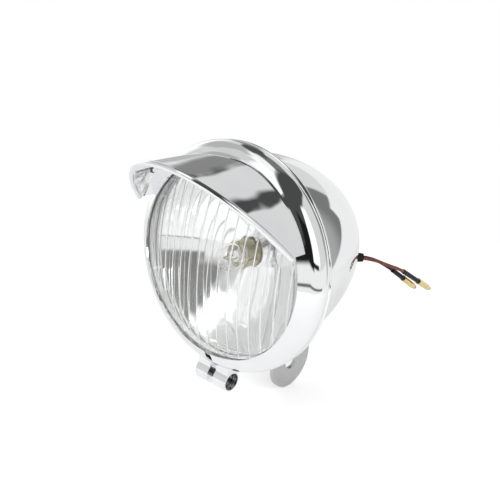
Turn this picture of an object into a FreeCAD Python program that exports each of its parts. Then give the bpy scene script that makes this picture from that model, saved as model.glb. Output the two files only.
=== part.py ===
"""Motorcycle headlight: chromed bullet bucket, clamp ring with a visor, fluted lens and bottom bracket.

Millimetres. The lamp's axis runs along Y and the lens looks towards -Y, with +Z up. Every piece is
drawn in the lamp's own frame, whose zero is on the axis at the front of the ring's rear lip, and
placed so that the centre of the bracket's bolt hole is the origin of the finished part.
"""
import FreeCAD
import Part
import Sketcher
import math
import os
from types import SimpleNamespace

Vector = FreeCAD.Vector

# Driving dimensions, millimetres and degrees
SIZES = {
    # Trim ring, a rolled channel that clamps the lens to the bucket
    "ring_overhang": 7.6,
    "ring_front": 16.0,
    "ring_crown": 5.0,
    "ring_curve": 9.0,
    "ring_bevel_angle": 30.0,
    "ring_bevel_length": 6.4,
    "ring_wall": 1.0,
    "ring_bead": 1.0,
    "ring_split": 4.4,
    "ring_play": 0.4,
    # Bucket, a drawn shell with a rolled mouth
    "bucket_inset": 0.4,
    "bucket_length": 85.5,
    "bucket_straight": 3.0,
    "bucket_crown": 45.0,
    "bucket_wall": 1.0,
    "mouth_width": 4.6,
    "mouth_depth": 4.8,
    "mouth_round": 2.0,
    # Reflector and the rubber ring in front of its flange
    "reflector_focus": 27.0,
    "mirror_inset": 4.8,
    "reflector_wall": 0.9,
    "reflector_flange": 0.8,
    "flange_margin": 3.4,
    "neck_radius": 8.6,
    "neck_wall": 1.0,
    "neck_forward": 7.4,
    "neck_back": 1.6,
    "gasket_depth": 1.0,
    "gasket_width": 3.4,
    # Lens
    "lens_radius": 57.4,
    "lens_seat": 2.8,
    "lens_rise": 9.5,
    "lens_wall": 3.4,
    "lens_skirt": 3.8,
    "flute_pitch": 7.0,
    "flute_depth": 0.2,
    "flute_border": 8.4,
    # Visor
    "visor_seat": 4.4,
    "visor_wall": 1.0,
    "visor_end_angle": 22.5,
    "visor_slope": 0.98,
    "visor_ahead": 2.25,
    "visor_hem": 1.6,
    # Clamp lugs and their screw
    "lug_radius": 6.2,
    "lug_length": 9.2,
    "lug_ahead": 5.0,
    "lug_stand": 7.5,
    "lug_web": 4.0,
    "screw_radius": 2.5,
    "screw_play": 0.2,
    "screw_head_radius": 4.8,
    "screw_head_height": 2.4,
    "sink_radius": 5.2,
    "sink_depth": 6.4,
    "screw_slot": 1.2,
    "screw_slot_depth": 1.3,
    # Bulb and its holder
    "holder_radius": 7.9,
    "holder_wall": 0.5,
    "holder_forward": 17.5,
    "holder_behind": 16.0,
    "holder_flange_radius": 13.0,
    "holder_flange_wall": 1.2,
    "cap_radius": 7.3,
    "cap_wall": 0.6,
    "cap_length": 17.0,
    "pin_radius": 0.9,
    "pin_out": 0.9,
    "pin_depth": 6.5,
    "globe_radius": 8.0,
    "globe_behind": 3.5,
    "globe_wall": 0.8,
    "stem_radius": 3.4,
    "stem_length": 5.0,
    "filament_length": 5.0,
    "filament_radius": 0.6,
    "support_radius": 0.3,
    "bead_length": 2.0,
    "pip_radius": 2.4,
    "pip_length": 1.4,
    "disc_thickness": 3.0,
    "stud_radius": 1.8,
    "stud_head_radius": 3.2,
    "stud_head_length": 2.4,
    "stud_tail": 4.0,
    # Bracket under the bucket
    "hole_ahead": 20.0,
    "hole_below": 29.5,
    "hole_radius": 5.5,
    "bracket_round": 18.0,
    "bracket_thickness": 2.5,
    "weld_leg": 2.0,
    # Rubber boss at the bucket's side, and the two wires
    "exit_ahead": 15.0,
    "exit_drop": 5.1,
    "exit_angle": 44.0,
    "grommet_neck": 2.8,
    "grommet_root": 2.7,
    "grommet_tip": 2.45,
    "grommet_out": 4.2,
    "grommet_in": 3.0,
    "grommet_lip": 4.2,
    "wire_radius": 1.0,
    "wire_offset": 1.06,
    "wire_inside": 2.0,
    "wire_straight": 10.0,
    "lead_straight": 7.0,
    "lead_offset": 1.6,
    "sleeve_radius": 1.45,
    "sleeve_brown_length": 21.9,
    "sleeve_black_length": 14.5,
    "sleeve_grip": 5.0,
    "bullet_radius": 1.9,
    "bullet_waist": 1.5,
    "bullet_length": 17.8,
    "bullet_tip": 1.4,
}

# Sizes that follow others, as formulas on the same sheet: the lens sets the mouth of the lamp
TIED = {
    "lens_face_radius": "lens_radius - lens_seat",
    "flute_field": "lens_radius - flute_border",
    "gasket_inside": "lens_radius - gasket_width",
    "flange_radius": "lens_radius + flange_margin",
    "reflector_opening": "lens_radius - mirror_inset",
    "bucket_radius": "lens_radius - bucket_inset",
    "ring_opening": "lens_face_radius + ring_play",
    "ring_radius": "lens_radius + ring_overhang",
    "visor_radius": "ring_opening + visor_seat",
    "lug_drop": "ring_radius + lug_stand",
    "hole_back": "bucket_length - hole_ahead",
    "hole_drop": "bucket_radius + hole_below",
    "exit_back": "bucket_length - exit_ahead",
}

# Free points of the wires, chosen by eye and counted from where each wire starts: the tails from the
# bucket's exit, the last run in line with the sleeve, and the inner leads from their terminals
TAIL_POINTS = {
    "brown": [(13.25, 17.1, -4.9), (16.19, 26.45, -8.45), (16.7, 34.45, -12.95)],
    "black": [(11.95, 20.4, -7.4), (12.85, 28.14, -12.3)],
}
LIVE_POINTS = [(0.0, 7.0, 0.0), (5.5, 15.5, -1.2), (15.0, 20.0, -3.0)]
EARTH_START = (10.4, -3.0)
EARTH_POINTS = [(0.0, 9.2, 0.0), (2.6, 19.2, -3.5), (8.6, 28.2, -5.5)]
ARC_SHARE = 0.45


class Size:
    """A length together with the formula that gives it, so that an object can be bound to it."""

    def __init__(self, value, text=None):
        self.value = float(value)
        self.text = text or repr(float(value))

    def __add__(self, other):
        other = sized(other)
        return Size(self.value + other.value, f"({self.text} + {other.text})")

    def __sub__(self, other):
        other = sized(other)
        return Size(self.value - other.value, f"({self.text} - {other.text})")

    def __mul__(self, other):
        other = sized(other)
        return Size(self.value * other.value, f"({self.text} * {other.text})")

    def __truediv__(self, other):
        other = sized(other)
        return Size(self.value / other.value, f"({self.text} / {other.text})")

    def __neg__(self):
        return Size(-self.value, f"(-1 * {self.text})")

    def __radd__(self, other):
        return sized(other) + self

    def __rsub__(self, other):
        return sized(other) - self

    def __rmul__(self, other):
        return sized(other) * self


def sized(number):
    """The number as a Size, where it isn't one already."""
    return number if isinstance(number, Size) else Size(number)


def root(size):
    """Square root of a Size."""
    return Size(math.sqrt(size.value), f"sqrt({size.text})")


def cosine(angle):
    """Cosine of an angle in degrees."""
    return Size(math.cos(math.radians(angle.value)), f"cos({angle.text})")


def sine(angle):
    """Sine of an angle in degrees."""
    return Size(math.sin(math.radians(angle.value)), f"sin({angle.text})")


doc = FreeCAD.newDocument("Headlight")
sheet = doc.addObject("Spreadsheet::Sheet", "Sizes")
cells = {**SIZES, **{alias: "=" + formula for alias, formula in TIED.items()}}
for row, (alias, content) in enumerate(cells.items(), start=1):
    sheet.set(f"A{row}", alias.replace("_", " "))
    sheet.set(f"B{row}", str(content))
    sheet.setAlias(f"B{row}", alias)
doc.recompute()
mm = SimpleNamespace(**{alias: Size(sheet.get(alias), f"Sizes.{alias}") for alias in cells})


def bind(thing, **sizes):
    """Bind properties of an object to formulas on the sheet."""
    for name, size in sizes.items():
        thing.setExpression(name, sized(size).text)
    return thing


def place(thing, x=0.0, y=0.0, z=0.0, turn=None):
    """Put an object at a point of the lamp's frame, counted from the bolt hole and bound to the sheet."""
    spot = (sized(x), y - mm.hole_back, z + mm.hole_drop)
    thing.Placement = FreeCAD.Placement(Vector(*(n.value for n in spot)), turn or FreeCAD.Rotation())
    for axis, size in zip("xyz", spot):
        thing.setExpression(f"Placement.Base.{axis}", size.text)
    return thing


def new_body(label):
    """An empty body with its label."""
    body = doc.addObject("PartDesign::Body", label)
    body.Label = label
    return place(body)


def new_sketch(body, role, lift=None):
    """A sketch on one of the body's own origin planes, lifted along the plane's normal if asked."""
    sketch = body.newObject("Sketcher::SketchObject", body.Name + "_sketch")
    plane = next(p for p in body.Origin.OriginFeatures if p.Role == role)
    sketch.AttachmentSupport = [(plane, "")]
    sketch.MapMode = "FlatFace"
    if lift is not None:
        sketch.AttachmentOffset = FreeCAD.Placement(Vector(0, 0, lift.value), FreeCAD.Rotation())
        sketch.setExpression("AttachmentOffset.Base.z", lift.text)
    return sketch


def pin_point(sketch, edge, end, x, y):
    """Fix a sketch point by its two distances from the sketch's origin."""
    for kind, size, axis in (("DistanceX", sized(x), -2), ("DistanceY", sized(y), -1)):
        if size.value == 0.0:
            sketch.addConstraint(Sketcher.Constraint("PointOnObject", edge, end, axis))
        else:
            index = sketch.addConstraint(Sketcher.Constraint(kind, -1, 1, edge, end, size.value))
            sketch.setExpression(f"Constraints[{index}]", size.text)


def arc_between(start, end, radius):
    """The short arc from start to end: it turns left for a positive radius and right for a negative one."""
    chord = end - start
    side = Vector(-chord.y, chord.x, 0).normalize()
    reach = math.sqrt(max(radius * radius - chord.Length**2 / 4, 0.0))
    centre = (start + end) / 2 + side * math.copysign(reach, radius)
    first, last = (start, end) if radius > 0 else (end, start)
    angles = [math.atan2(p.y - centre.y, p.x - centre.x) for p in (first, last)]
    return Part.ArcOfCircle(Part.Circle(centre, Vector(0, 0, 1), abs(radius)), *angles)


def draw_outline(body, role, corners, lift=None):
    """A closed sketch through corners (x, y); a third number is the radius of the arc that leads there."""
    sketch = new_sketch(body, role, lift)
    points = [Vector(sized(c[0]).value, sized(c[1]).value, 0) for c in corners]
    ends = []
    for index, corner in enumerate(corners):
        start, end = points[index - 1], points[index]
        if len(corner) == 2:
            sketch.addGeometry(Part.LineSegment(start, end))
            ends.append((1, 2))
            continue
        radius = sized(corner[2])
        sketch.addGeometry(arc_between(start, end, radius.value))
        ends.append((1, 2) if radius.value > 0 else (2, 1))
        size = radius if radius.value > 0 else -radius
        rule = sketch.addConstraint(Sketcher.Constraint("Radius", index, size.value))
        sketch.setExpression(f"Constraints[{rule}]", size.text)
    for index, corner in enumerate(corners):
        after = (index + 1) % len(corners)
        sketch.addConstraint(Sketcher.Constraint("Coincident", index, ends[index][1], after, ends[after][0]))
        pin_point(sketch, index, ends[index][1], corner[0], corner[1])
    return sketch


def draw_circles(body, role, circles, lift=None):
    """A sketch of full circles, each (x, y, radius)."""
    sketch = new_sketch(body, role, lift)
    for index, (x, y, radius) in enumerate(circles):
        centre = Vector(sized(x).value, sized(y).value, 0)
        sketch.addGeometry(Part.Circle(centre, Vector(0, 0, 1), radius.value))
        pin_point(sketch, index, 3, x, y)
        rule = sketch.addConstraint(Sketcher.Constraint("Radius", index, radius.value))
        sketch.setExpression(f"Constraints[{rule}]", radius.text)
    return sketch


def turn_about(body, kind, sketch, axis="V_Axis"):
    """A full Revolution or Groove of a sketch about one of its axes."""
    feature = body.newObject(f"PartDesign::{kind}", f"{body.Name}_{kind.lower()}")
    feature.Profile = sketch
    feature.ReferenceAxis = (sketch, [axis])
    feature.Angle = 360
    return feature


def turned(label, corners, axis="V_Axis"):
    """A turned piece: the outline in the XY plane carried once round an axis."""
    body = new_body(label)
    turn_about(body, "Revolution", draw_outline(body, "XY_Plane", corners), axis)
    return body


def pad(body, sketch, length, both_ways=False, backwards=False):
    """Raise a sketch by a length bound to the sheet."""
    feature = body.newObject("PartDesign::Pad", body.Name + "_pad")
    feature.Profile = sketch
    feature.Length = length.value
    feature.setExpression("Length", length.text)
    feature.SideType = "Symmetric" if both_ways else "One side"
    feature.Reversed = backwards
    return feature


def cut_through(body, sketch):
    """Cut a sketch right through the body, both ways."""
    feature = body.newObject("PartDesign::Pocket", body.Name + "_cut")
    feature.Profile = sketch
    feature.Type = "ThroughAll"
    feature.SideType = "Symmetric"
    return feature


def cut_depth(body, sketch, depth):
    """Cut a sketch to a depth bound to the sheet."""
    feature = body.newObject("PartDesign::Pocket", body.Name + "_sink")
    feature.Profile = sketch
    feature.Length = depth.value
    feature.setExpression("Length", depth.text)
    return feature


def solid(kind, name, **sizes):
    """A plain primitive bound to the sheet."""
    return place(bind(doc.addObject(f"Part::{kind}", name), **sizes))


def combine(kind, label, base, tool):
    """Cut, Fuse or Common of two objects."""
    result = doc.addObject(f"Part::{kind}", label)
    result.Label = label
    result.Base = base
    result.Tool = tool
    return result


def made(label, shape):
    """A piece whose shape is worked out directly, as the wires are."""
    feature = doc.addObject("Part::Feature", label)
    feature.Label = label
    feature.Shape = shape
    return place(feature)


# Places along the axis that several pieces share
FLANGE_BACK = -mm.mouth_depth
FLANGE_FRONT = FLANGE_BACK - mm.reflector_flange
SKIRT_BACK = FLANGE_FRONT - mm.gasket_depth
VERTEX = FLANGE_FRONT + mm.reflector_opening * mm.reflector_opening / (4 * mm.reflector_focus)
FOCUS = VERTEX - mm.reflector_focus
NECK_BACK = VERTEX + mm.neck_back
HOLDER_FRONT = VERTEX - mm.holder_forward
HOLDER_BACK = VERTEX + mm.holder_behind
PIN_BACK = HOLDER_FRONT + mm.pin_depth
GLOBE = FOCUS + mm.globe_behind
AROUND_X = FreeCAD.Rotation(Vector(1, 0, 0), 90)
ALONG_X = FreeCAD.Rotation(Vector(0, 1, 0), 90)


def bevel(distance, depth=0.0):
    """Point on the ring's front bevel, a distance out from the lip and a depth under the surface."""
    out, back = cosine(mm.ring_bevel_angle), sine(mm.ring_bevel_angle)
    return (
        mm.ring_opening + distance * out - depth * back,
        distance * back + depth * out - mm.ring_front,
    )


def ring_shoulder(depth):
    """Radius of the ring's crown arc, a depth under its surface, where the arc meets the rear bead."""
    reach = mm.ring_crown - mm.ring_bead
    curve = mm.ring_curve - depth
    return mm.ring_radius - mm.ring_curve + root(curve * curve - reach * reach)


def inner_bevel_at(radius):
    """Place along the axis of the ring's inner bevel at a radius."""
    run = radius - mm.ring_opening
    slope = sine(mm.ring_bevel_angle) / cosine(mm.ring_bevel_angle)
    return run * slope + mm.ring_wall / cosine(mm.ring_bevel_angle) - mm.ring_front


def ring_outside():
    """Outer line of the ring's section, from the lip to the rear bead, closed on the axis."""
    return [
        (0.0, -mm.ring_front),
        (mm.ring_opening, -mm.ring_front),
        bevel(mm.ring_bevel_length),
        (ring_shoulder(sized(0.0)), -mm.ring_bead, mm.ring_curve),
        (0.0, -mm.ring_bead),
    ]


def make_trim_ring():
    """Rolled channel: bevelled lip over the lens, round crown, small bead and an inward rear lip."""
    bead_seat = ring_shoulder(sized(0.0)) - mm.ring_bead / 2
    rear_lip = mm.bucket_radius + mm.ring_play
    ring = turned(
        "trim_ring",
        [
            (mm.ring_opening, -mm.ring_front),
            bevel(mm.ring_bevel_length),
            (ring_shoulder(sized(0.0)), -mm.ring_bead, mm.ring_curve),
            (bead_seat, -mm.ring_bead),
            (bead_seat + mm.ring_bead, 0.0, mm.ring_bead),
            (bead_seat, mm.ring_bead, mm.ring_bead),
            (rear_lip, mm.ring_bead),
            (rear_lip, 0.0),
            (bead_seat - mm.ring_wall, 0.0),
            (ring_shoulder(mm.ring_wall), -mm.ring_bead),
            bevel(mm.ring_bevel_length, mm.ring_wall) + (mm.ring_wall - mm.ring_curve,),
            (mm.ring_opening, inner_bevel_at(mm.ring_opening)),
        ],
    )
    half = mm.ring_split / 2
    low = -2 * mm.ring_radius
    slit = [(-half, low), (half, low), (half, 0.0), (-half, 0.0)]
    cut_through(ring, draw_outline(ring, "XZ_Plane", slit))
    return ring


def side_radius():
    """Radius of the bucket's side, which leaves the straight mouth and meets the crown smoothly."""
    depth = mm.bucket_length - mm.bucket_straight - mm.bucket_crown
    crown = mm.bucket_crown
    return (mm.bucket_radius * mm.bucket_radius + depth * depth - crown * crown) / (
        2 * (mm.bucket_radius - crown)
    )


def bucket_line(depth):
    """Outer line of the bucket from its straight mouth to the pole, a depth under the surface."""
    rise = mm.bucket_length - mm.bucket_straight - mm.bucket_crown
    side = side_radius()
    span = side - mm.bucket_crown
    crown = mm.bucket_crown - depth
    join = (
        crown * (side - mm.bucket_radius) / span,
        mm.bucket_straight + rise + crown * rise / span,
    )
    mouth = (mm.bucket_radius - depth, mm.bucket_straight)
    pole = (0.0, mm.bucket_length - depth)
    return mouth, join, pole, side - depth, crown


def bucket_filled(depth=0.0):
    """The bucket's outside as one closed outline down to the axis."""
    mouth, join, pole, side, crown = bucket_line(sized(depth))
    return [(0.0, 0.0), (mouth[0], 0.0), mouth, join + (side,), pole + (crown,)]


def make_bucket():
    """Drawn shell: rolled mouth that the ring hooks behind, long side curve and round crown."""
    mouth, join, pole, side, crown = bucket_line(sized(0.0))
    mouth_in, join_in, pole_in, side_in, crown_in = bucket_line(mm.bucket_wall)
    rim = mm.bucket_radius + mm.mouth_width
    bucket = turned(
        "bucket_shell",
        [
            (mouth_in[0], FLANGE_BACK),
            (rim - mm.mouth_round, FLANGE_BACK),
            (rim, FLANGE_BACK + mm.mouth_round, mm.mouth_round),
            (rim, -mm.mouth_round),
            (rim - mm.mouth_round, 0.0, mm.mouth_round),
            (mouth[0], 0.0),
            mouth,
            join + (side,),
            pole + (crown,),
            pole_in,
            join_in + (-crown_in,),
            mouth_in + (-side_in,),
        ],
    )
    drill = solid("Cylinder", "exit_drill", Radius=mm.grommet_neck, Height=mm.grommet_out + mm.grommet_in)
    at_exit(drill, -mm.grommet_in, FreeCAD.Rotation(Vector(0, 1, 0), 90))
    return combine("Cut", "bucket", bucket, drill)


def exit_across():
    """Distance of the wires' exit from the lamp's middle plane, on the bucket's crown."""
    along = mm.exit_back - mm.bucket_length + mm.bucket_crown
    return root(mm.bucket_crown * mm.bucket_crown - along * along - mm.exit_drop * mm.exit_drop)


def at_exit(thing, along, turn):
    """Put an object at the wires' exit, moved along the exit's own direction."""
    heading = FreeCAD.Rotation(Vector(0, 0, 1), mm.exit_angle.value)
    return place(
        thing,
        exit_across() + along * cosine(mm.exit_angle),
        mm.exit_back + along * sine(mm.exit_angle),
        -mm.exit_drop,
        heading.multiply(turn),
    )


def make_grommet(bucket, wires):
    """Rubber boss in the bucket's hole: outer cone, neck and a lip inside the wall, moulded on the wires."""
    boss = turned(
        "grommet_blank",
        [
            (0.0, -mm.grommet_in),
            (mm.grommet_lip, -mm.grommet_in),
            (mm.grommet_lip, 0.0),
            (mm.grommet_neck, 0.0),
            (mm.grommet_root, mm.grommet_out / 2),
            (mm.grommet_tip, mm.grommet_out),
            (0.0, mm.grommet_out),
        ],
    )
    at_exit(boss, sized(0.0), FreeCAD.Rotation(Vector(0, 0, 1), -90))
    seated = combine("Cut", "grommet_seated", boss, bucket)
    return combine("Cut", "wire_grommet", combine("Cut", "grommet_bored", seated, wires[0]), wires[1])


def parabola(radius):
    """Place of the mirror's surface along the axis at a radius."""
    return VERTEX - radius * radius / (4 * mm.reflector_focus)


def mirror_bend(radius):
    """Radius of curvature of the mirror's parabola at a radius."""
    ratio = radius / (2 * mm.reflector_focus)
    swell = ratio * ratio + 1
    return 2 * mm.reflector_focus * swell * root(swell)


def make_reflector():
    """Pressed mirror: parabola in three arcs, a flange clamped at the mouth, and a neck for the holder."""
    neck = mm.neck_radius + mm.neck_wall
    span = mm.reflector_opening - neck
    radii = [neck, neck + span / 3, neck + span * 2 / 3, mm.reflector_opening]
    arcs = list(zip(radii[:-1], radii[1:]))
    bends = [mirror_bend((inner + outer) / 2) for inner, outer in arcs]
    face = [(outer, parabola(outer), -bend) for (inner, outer), bend in zip(arcs, bends)]
    back = [
        (inner, parabola(inner) + mm.reflector_wall, bend) for (inner, outer), bend in zip(arcs, bends)
    ]
    neck_front = VERTEX - mm.neck_forward
    return turned(
        "reflector",
        [
            (mm.neck_radius, NECK_BACK),
            (mm.neck_radius, neck_front),
            (neck, neck_front),
            (neck, parabola(neck)),
            *face,
            (mm.flange_radius, FLANGE_FRONT),
            (mm.flange_radius, FLANGE_BACK),
            (mm.reflector_opening + mm.reflector_wall, FLANGE_BACK),
            (mm.reflector_opening, parabola(mm.reflector_opening) + mm.reflector_wall),
            *reversed(back),
            (neck, NECK_BACK),
        ],
    )


def make_lens():
    """Pressed glass: domed face, bevelled seat under the ring's lip, deep skirt, flutes on the inside."""
    edge = inner_bevel_at(mm.lens_face_radius)
    dome = (mm.lens_face_radius * mm.lens_face_radius + mm.lens_rise * mm.lens_rise) / (2 * mm.lens_rise)
    apex = edge - mm.lens_rise
    inner = dome - mm.lens_wall
    skirt_inside = mm.lens_radius - mm.lens_skirt
    inner_edge = apex + dome - root(inner * inner - skirt_inside * skirt_inside)
    blank = turned(
        "lens_blank",
        [
            (0.0, apex),
            (mm.lens_face_radius, edge, dome),
            (mm.lens_radius, inner_bevel_at(mm.lens_radius)),
            (mm.lens_radius, SKIRT_BACK),
            (skirt_inside, SKIRT_BACK),
            (skirt_inside, inner_edge),
            (0.0, apex + mm.lens_wall, -inner),
        ],
    )
    count = 2 * math.floor(mm.flute_field.value / mm.flute_pitch.value) + 2
    crest = inner - mm.flute_depth
    scallop = (mm.flute_pitch * mm.flute_pitch / 4 + mm.flute_depth * mm.flute_depth) / (2 * mm.flute_depth)
    cusps = []
    for index in range(count + 1):
        across = mm.flute_pitch * (index - count / 2)
        cusps.append((across, -root(inner * inner - across * across)))
    width = mm.flute_pitch * count / 2
    depth = root(crest * crest - width * width)
    field = new_body("flute_field")
    outline = [(width, -depth), (-width, -depth), cusps[0]] + [cusp + (scallop,) for cusp in cusps[1:]]
    sketch = draw_outline(field, "XY_Plane", outline)
    turn = turn_about(field, "Revolution", sketch, "H_Axis")
    turn.Midplane = True
    turn.Angle = 2 * math.degrees(math.asin(mm.lens_radius.value / crest.value))
    place(field, y=apex + dome)
    window = solid("Cylinder", "flute_window", Radius=mm.flute_field, Height=2 * mm.lens_radius)
    place(window, y=mm.lens_radius, turn=AROUND_X)
    return combine("Cut", "lens", blank, combine("Common", "flutes", field, window))


def make_gasket():
    """Flat rubber ring between the lens skirt and the mirror's flange."""
    return turned(
        "lens_gasket",
        [
            (mm.gasket_inside, SKIRT_BACK),
            (mm.lens_radius, SKIRT_BACK),
            (mm.lens_radius, FLANGE_FRONT),
            (mm.gasket_inside, FLANGE_FRONT),
        ],
    )


def make_visor(envelope):
    """Peak: part of a tube cut off by a sloping plane, with a wired front edge, seated on the ring."""
    sweep = 180 - 2 * mm.visor_end_angle
    length = 2 * mm.visor_radius * mm.visor_slope
    back = -mm.ring_crown
    sheet_out = solid("Cylinder", "visor_sheet", Radius=mm.visor_radius, Height=length, Angle=sweep)
    start = FreeCAD.Rotation(Vector(0, 0, 1), mm.visor_end_angle.value)
    place(sheet_out, y=back, turn=AROUND_X.multiply(start))
    core = solid("Cylinder", "visor_core", Radius=mm.visor_radius - mm.visor_wall, Height=length)
    place(core, y=back, turn=AROUND_X)
    lean = FreeCAD.Rotation(Vector(1, 0, 0), math.degrees(math.atan(mm.visor_slope.value)))
    trim = solid("Box", "visor_trim", Length=4 * mm.visor_radius, Width=2 * length, Height=4 * length)
    corner = lean.multVec(Vector(-2 * mm.visor_radius.value, -2 * length.value, -2 * length.value))
    place(trim, corner.x, corner.y - mm.visor_ahead, corner.z, lean)
    tube = combine("Cut", "visor_tube", sheet_out, core)
    shell = combine("Cut", "visor_shell", combine("Cut", "visor_front", tube, trim), envelope)
    middle = mm.visor_radius - mm.visor_wall / 2
    stretch = root(mm.visor_slope * mm.visor_slope + 1)
    spine = solid(
        "Ellipse",
        "hem_line",
        MajorRadius=middle * stretch,
        MinorRadius=middle,
        Angle2=90 - mm.visor_end_angle,
    )
    upwards = Vector(0, -mm.visor_slope.value, 1).normalize()
    place(spine, y=-mm.visor_ahead, turn=FreeCAD.Rotation(upwards, Vector(1, 0, 0), Vector(), "XYZ"))
    ring = solid("Circle", "hem_section", Radius=mm.visor_hem)
    place(ring, y=-(middle * mm.visor_slope) - mm.visor_ahead, z=middle, turn=ALONG_X)
    hem = doc.addObject("Part::Sweep", "hem_right")
    hem.Sections = [ring]
    hem.Spine = (spine, ["Edge1"])
    hem.Solid = True
    mirror = doc.addObject("Part::Mirroring", "hem_left")
    mirror.Source = hem
    mirror.Normal = Vector(1, 0, 0)
    visor = combine("Fuse", "visor_wired", combine("Fuse", "visor_right", shell, hem), mirror)
    for name, side in (("hem_end_right", 1), ("hem_end_left", -1)):
        ball = solid("Sphere", name, Radius=mm.visor_hem)
        height = middle * sine(mm.visor_end_angle)
        ahead = -(height * mm.visor_slope) - mm.visor_ahead
        place(ball, side * middle * cosine(mm.visor_end_angle), ahead, height)
        visor = combine("Fuse", "visor" if side < 0 else "visor_half", visor, ball)
    return visor


def make_lug(label, side, envelope):
    """Clamp lug: a short barrel across the ring's split, hollowed to the ring's curve."""
    body = new_body(label + "_blank")
    left = side < 0
    gap = mm.ring_split / 2
    lift = -gap if left else gap
    spot = (-mm.lug_ahead, -mm.lug_drop)
    rise = root(mm.lug_radius * mm.lug_radius - mm.lug_web * mm.lug_web) - mm.lug_drop
    front = -(mm.lug_ahead + mm.lug_web)
    back = mm.lug_web - mm.lug_ahead
    outline = [
        (front, -mm.ring_opening),
        (front, rise),
        (-mm.lug_ahead, -(mm.lug_drop + mm.lug_radius), mm.lug_radius),
        (back, rise, mm.lug_radius),
        (back, -mm.ring_opening),
    ]
    pad(body, draw_outline(body, "YZ_Plane", outline, lift), mm.lug_length, backwards=left)
    bore = mm.screw_radius if left else mm.screw_radius + mm.screw_play
    cut_through(body, draw_circles(body, "YZ_Plane", [spot + (bore,)]))
    if not left:
        sink = draw_circles(body, "YZ_Plane", [spot + (mm.sink_radius,)], gap + mm.lug_length)
        cut_depth(body, sink, mm.sink_depth)
    return combine("Cut", label, body, envelope)


def make_screw():
    """Slotted cheese-head screw, its head on the floor of the right lug's sink."""
    seat = mm.ring_split / 2 + mm.lug_length - mm.sink_depth
    tail = -(mm.ring_split / 2 + mm.lug_length)
    top = seat + mm.screw_head_height
    body = turned(
        "clamp_screw",
        [
            (tail, 0.0),
            (top, 0.0),
            (top, mm.screw_head_radius),
            (seat, mm.screw_head_radius),
            (seat, mm.screw_radius),
            (tail, mm.screw_radius),
        ],
        "H_Axis",
    )
    half = mm.screw_slot / 2
    wide = 2 * mm.screw_head_radius
    slot = [(-half, -wide), (half, -wide), (half, wide), (-half, wide)]
    cut_depth(body, draw_outline(body, "YZ_Plane", slot, top), mm.screw_slot_depth)
    return place(body, y=-mm.lug_ahead, z=-mm.lug_drop)


def make_holder():
    """Bayonet tube in the mirror's neck, with a flange against the neck's end and two pin slots."""
    inside = mm.holder_radius - mm.holder_wall
    flange_back = NECK_BACK + mm.holder_flange_wall
    body = turned(
        "bulb_holder",
        [
            (inside, HOLDER_FRONT),
            (mm.holder_radius, HOLDER_FRONT),
            (mm.holder_radius, NECK_BACK),
            (mm.holder_flange_radius, NECK_BACK),
            (mm.holder_flange_radius, flange_back),
            (mm.holder_radius, flange_back),
            (mm.holder_radius, HOLDER_BACK),
            (inside, HOLDER_BACK),
        ],
    )
    slot = [
        (HOLDER_FRONT, -mm.pin_radius),
        (PIN_BACK, -mm.pin_radius),
        (PIN_BACK + mm.pin_radius, 0.0, mm.pin_radius),
        (PIN_BACK, mm.pin_radius, mm.pin_radius),
        (HOLDER_FRONT, mm.pin_radius),
    ]
    cut_through(body, draw_outline(body, "YZ_Plane", slot))
    return body


def make_cap():
    """Brass bayonet cap of the bulb, a cup open at the front with a pin on each side."""
    front = HOLDER_FRONT
    back = front + mm.cap_length
    inside = mm.cap_radius - mm.cap_wall
    body = turned(
        "bulb_cap",
        [
            (inside, front),
            (mm.cap_radius, front),
            (mm.cap_radius, back - mm.bead_length),
            (mm.pip_radius * 2, back),
            (mm.pip_radius, back),
            (mm.pip_radius, back - mm.bead_length),
            (inside, back - mm.bead_length - mm.cap_wall),
        ],
    )
    root_of_pin = mm.cap_radius - mm.cap_wall / 2
    pin = [(PIN_BACK, 0.0, mm.pin_radius)]
    length = mm.cap_wall / 2 + mm.pin_out
    pad(body, draw_circles(body, "YZ_Plane", pin, root_of_pin), length)
    pad(body, draw_circles(body, "YZ_Plane", pin, -root_of_pin), length, backwards=True)
    return body


def make_cap_contact():
    """Contact pip in the middle of the cap's closed end."""
    back = HOLDER_FRONT + mm.cap_length
    return turned(
        "cap_contact",
        [
            (0.0, back - mm.bead_length),
            (mm.pip_radius, back - mm.bead_length),
            (mm.pip_radius, back),
            (mm.pip_radius / 2, back + mm.pip_length),
            (0.0, back + mm.pip_length),
        ],
    )


def make_globe():
    """Blown glass globe with its neck cemented in the cap."""
    centre = GLOBE
    inner = mm.globe_radius - mm.globe_wall
    neck = mm.cap_radius - mm.cap_wall
    neck_in = neck - mm.globe_wall
    meet = centre + root(mm.globe_radius * mm.globe_radius - neck * neck)
    meet_in = centre + root(inner * inner - neck_in * neck_in)
    foot = HOLDER_FRONT + mm.stem_length
    return turned(
        "bulb_glass",
        [
            (0.0, centre - mm.globe_radius),
            (mm.globe_radius, centre, mm.globe_radius),
            (neck, meet, mm.globe_radius),
            (neck, foot),
            (neck_in, foot),
            (neck_in, meet_in),
            (inner, centre, -inner),
            (0.0, centre - inner, -inner),
        ],
    )


def make_stem():
    """Glass foot of the filament's mount, in the globe's neck."""
    foot = HOLDER_FRONT + mm.stem_length
    neck_in = mm.cap_radius - mm.cap_wall - mm.globe_wall
    return turned(
        "filament_stem",
        [
            (0.0, HOLDER_FRONT - mm.stem_length / 2),
            (mm.stem_radius, HOLDER_FRONT - mm.stem_length / 2),
            (mm.stem_radius, foot - mm.globe_wall),
            (neck_in, foot - mm.globe_wall),
            (neck_in, foot),
            (0.0, foot),
        ],
    )


def make_filament():
    """Coiled filament across the axis at the mirror's focus, as its outer form."""
    coil = solid("Cylinder", "filament", Radius=mm.filament_radius, Height=mm.filament_length)
    return place(coil, x=-mm.filament_length / 2, y=FOCUS, turn=ALONG_X)


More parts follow.
